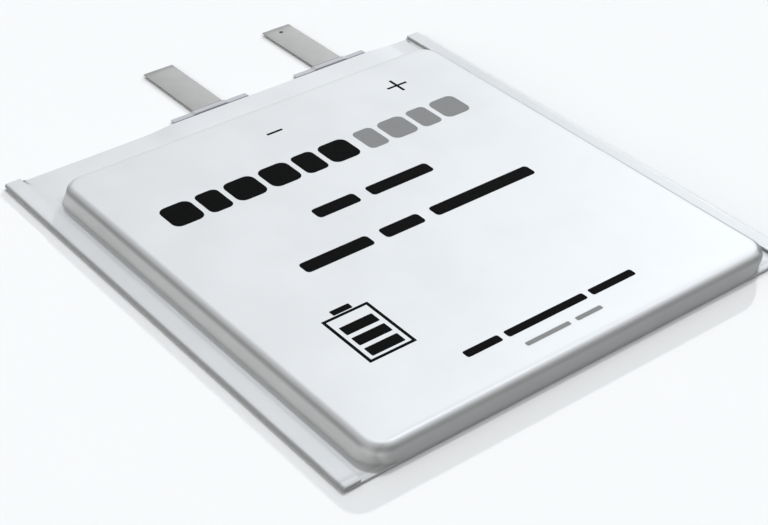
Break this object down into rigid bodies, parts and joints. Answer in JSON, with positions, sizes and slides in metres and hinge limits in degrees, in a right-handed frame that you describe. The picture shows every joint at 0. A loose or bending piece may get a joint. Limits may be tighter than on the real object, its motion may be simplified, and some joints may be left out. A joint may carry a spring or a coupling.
{
  "type": "pouch battery cell",
  "caption": "Thin rectangular battery cell in a drawn foil laminate pouch with folded side hems and flat metal tabs, with its electrode stack inside.",
  "frame": {"origin": "centre of the pouch's flat back face, on the outside of the back film", "axes": "+Z out of the back face towards the cup, +Y towards the tabs, +X to the right when the tabs are at the top and the cup faces the viewer"},
  "size_m": [0.05, 0.0637, 0.0022],
  "materials": {
    "laminate_film": "pearl-silver satin foil laminate",
    "sealant": "fused polypropylene, milky",
    "tab_nickel": "satin rolled nickel strip",
    "tab_film": "translucent grey polypropylene film",
    "copper_foil": "bright rolled copper foil",
    "aluminium_foil": "rolled aluminium foil",
    "lithium_foil": "soft dull lithium foil",
    "cathode_mix": "matt pressed powder mix",
    "separator": "white microporous film",
    "insulating_tape": "amber polyimide tape"
  },
  "bodies": {
    "pouch": {"front_film": "laminate_film", "back_film": "laminate_film", "terminal_seal": "sealant", "left_side_seal": "sealant", "right_side_seal": "sealant", "negative_tab": "tab_nickel", "negative_tab_film_lower": "tab_film", "negative_tab_film_upper": "tab_film", "positive_tab": "tab_nickel", "positive_tab_film_lower": "tab_film", "positive_tab_film_upper": "tab_film", "lower_anode_collector": "copper_foil", "lower_anode_lithium": "lithium_foil", "lower_separator_bag": "separator", "lower_cathode_mix_lower": "cathode_mix", "lower_cathode_collector": "aluminium_foil", "lower_cathode_mix_upper": "cathode_mix", "middle_anode_lithium_lower": "lithium_foil", "middle_anode_collector": "copper_foil", "middle_anode_lithium_upper": "lithium_foil", "upper_separator_bag": "separator", "upper_cathode_mix_lower": "cathode_mix", "upper_cathode_collector": "aluminium_foil", "upper_cathode_mix_upper": "cathode_mix", "upper_anode_lithium": "lithium_foil", "upper_anode_collector": "copper_foil", "fold_end_stack_tape": "insulating_tape", "tab_end_stack_tape": "insulating_tape", "negative_weld_tape": "insulating_tape", "positive_weld_tape": "insulating_tape"},
    "negative_lug": {"negative_tab_lug": "tab_nickel"},
    "positive_lug": {"positive_tab_lug": "tab_nickel"}
  },
  "joints": [
    {"name": "negative_tab_bend", "type": "hinge", "parent": "pouch", "child": "negative_lug", "pos_m": [-0.0016, 0.0278, 0.00022], "axis": [1, 0, 0], "range_deg": [0, 90]},
    {"name": "positive_tab_bend", "type": "hinge", "parent": "pouch", "child": "positive_lug", "pos_m": [0.0134, 0.0278, 0.00022], "axis": [1, 0, 0], "range_deg": [0, 90]}
  ]
}
